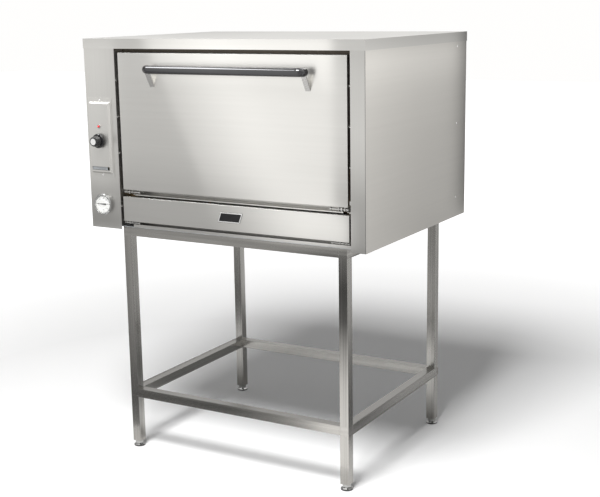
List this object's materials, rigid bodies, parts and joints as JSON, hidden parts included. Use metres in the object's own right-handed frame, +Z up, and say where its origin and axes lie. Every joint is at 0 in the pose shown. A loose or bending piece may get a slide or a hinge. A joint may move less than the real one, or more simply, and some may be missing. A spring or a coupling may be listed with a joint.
{
  "type": "gas deck oven",
  "caption": "Wide gas deck oven with a drop-down door, tube handle, side control plate and dial thermometer, on an open square-tube stand with levelling feet.",
  "frame": {"origin": "on the floor under the middle of the whole object's bounding box, from the handle's front to the flue collar's back", "axes": "+Z up, the front with the door faces -Y, +X to the right seen from the front"},
  "size_m": [1.203, 0.9866, 1.617],
  "materials": {
    "brushed_cover": "satin brushed stainless sheet",
    "brushed_side": "satin brushed stainless sheet",
    "brushed_front": "satin brushed stainless sheet",
    "brushed_plate": "finely brushed stainless pressing",
    "brushed_door": "satin brushed stainless sheet",
    "brushed_flap": "satin brushed stainless sheet",
    "screw_steel": "bright plated screws",
    "clip_steel": "bright machined and bent steel",
    "galvanised_sheet": "zinc coated sheet",
    "mouth_steel": "plain steel sheet, slightly tanned by heat",
    "igniter_metal": "drawn metal shell with a dark lead",
    "red_plastic": "gloss red",
    "brass": "machined and drawn brass",
    "black_plastic": "semi-gloss black moulding",
    "silver_disc": "turned silver disc",
    "polished_bezel": "polished bezel and case",
    "dial_face": "white enamelled dial",
    "pointer_black": "matt black pointer",
    "clear_glass": "clear flat glass",
    "copper_line": "drawn copper tube",
    "burner_steel": "heat resistant grey steel tube",
    "cavity_steel": "plain inner sheet, slightly tanned by heat",
    "deck_iron": "dark rolled iron bars",
    "refractory": "pale matt refractory tiles",
    "wool": "pale mineral wool",
    "seal_cord": "braided grey heat resistant seal",
    "chrome_bar": "polished round tube",
    "leg_steel": "polished flat strap",
    "badge_black": "bare black plate with a pale border",
    "stand_tube": "ground stainless square tube",
    "insert_plastic": "black moulded insert",
    "foot_metal": "plated foot with its stud"
  },
  "bodies": {
    "oven": {"top_cover": "brushed_cover", "left_side_panel": "brushed_side", "right_side_panel": "brushed_side", "casing_screws": "screw_steel", "back_panel": "galvanised_sheet", "base_tray": "galvanised_sheet", "control_column": "brushed_front", "right_column": "brushed_front", "column_clips": "clip_steel", "front_header": "brushed_front", "mouth_frame": "mouth_steel", "front_sill": "brushed_front", "lower_ledge": "brushed_front", "hinge_ears": "clip_steel", "control_plate": "brushed_plate", "igniter_body": "igniter_metal", "gas_valve": "brass", "thermometer_case": "polished_bezel", "thermometer_dial": "dial_face", "thermometer_glass": "clear_glass", "sensing_bulbs": "copper_line", "gas_inlet_pipe": "brass", "burner_manifold": "brass", "burners": "burner_steel", "pilot_burner": "brass", "thermocouple": "copper_line", "cavity_side_walls": "cavity_steel", "cavity_back_wall": "cavity_steel", "cavity_roof": "cavity_steel", "deck_supports": "deck_iron", "deck_tiles": "refractory", "insulation": "wool", "flue_duct": "galvanised_sheet", "door_seal": "seal_cord", "stand_legs": "stand_tube", "stand_top_rails": "stand_tube", "stand_lower_rails": "stand_tube", "leg_inserts": "insert_plastic"},
    "door": {"door_skin": "brushed_door", "door_liner": "cavity_steel", "door_insulation": "wool", "handle_bar": "chrome_bar", "handle_legs": "leg_steel", "door_hinges": "clip_steel"},
    "flap": {"flap_panel": "brushed_flap", "badge_plate": "badge_black", "flap_hinges": "clip_steel"},
    "knob_slide": {"spindle_collar": "clip_steel"},
    "knob_turn": {"valve_spindle": "clip_steel", "knob": "black_plastic", "knob_disc": "silver_disc"},
    "igniter_button": {"igniter_button": "red_plastic"},
    "thermometer_pointer": {"thermometer_pointer": "pointer_black"},
    "left_air_shutter": {"left_air_shutter": "clip_steel"},
    "right_air_shutter": {"right_air_shutter": "clip_steel"},
    "front_left_foot": {"front_left_foot": "foot_metal"},
    "front_right_foot": {"front_right_foot": "foot_metal"},
    "rear_left_foot": {"rear_left_foot": "foot_metal"},
    "rear_right_foot": {"rear_right_foot": "foot_metal"}
  },
  "joints": [
    {"name": "door_hinge", "type": "hinge", "parent": "oven", "child": "door", "pos_m": [0.043, -0.42275, 1.037], "axis": [1, 0, 0], "range_deg": [0, 90]},
    {"name": "flap_hinge", "type": "hinge", "parent": "oven", "child": "flap", "pos_m": [0.043, -0.42375, 0.917], "axis": [1, 0, 0], "range_deg": [0, 90]},
    {"name": "knob_push", "type": "slide", "parent": "oven", "child": "knob_slide", "axis": [0, 1, 0], "range_m": [0, 0.004], "stiffness_N_per_m": 1500, "springref_m": -0.002},
    {"name": "knob_turn", "type": "hinge", "parent": "knob_slide", "child": "knob_turn", "pos_m": [-0.535, -0.46675, 1.231], "axis": [0, 1, 0], "range_deg": [0, 270]},
    {"name": "igniter_push", "type": "slide", "parent": "oven", "child": "igniter_button", "axis": [0, 1, 0], "range_m": [0, 0.003], "stiffness_N_per_m": 1500, "springref_m": -0.002},
    {"name": "thermometer_turn", "type": "hinge", "parent": "oven", "child": "thermometer_pointer", "pos_m": [-0.535, -0.44675, 0.985], "axis": [0, 1, 0], "range_deg": [0, 270]},
    {"name": "left_shutter_turn", "type": "hinge", "parent": "oven", "child": "left_air_shutter", "pos_m": [-0.2, -0.35275, 0.9752], "axis": [0, 1, 0], "range_deg": [0, 45]},
    {"name": "right_shutter_turn", "type": "hinge", "parent": "oven", "child": "right_air_shutter", "pos_m": [0.286, -0.35275, 0.9752], "axis": [0, 1, 0], "range_deg": [0, 45]},
    {"name": "front_left_foot_level", "type": "slide", "parent": "oven", "child": "front_left_foot", "axis": [0, 0, -1], "range_m": [0, 0.025]},
    {"name": "front_right_foot_level", "type": "slide", "parent": "oven", "child": "front_right_foot", "axis": [0, 0, -1], "range_m": [0, 0.025]},
    {"name": "rear_left_foot_level", "type": "slide", "parent": "oven", "child": "rear_left_foot", "axis": [0, 0, -1], "range_m": [0, 0.025]},
    {"name": "rear_right_foot_level", "type": "slide", "parent": "oven", "child": "rear_right_foot", "axis": [0, 0, -1], "range_m": [0, 0.025]}
  ]
}
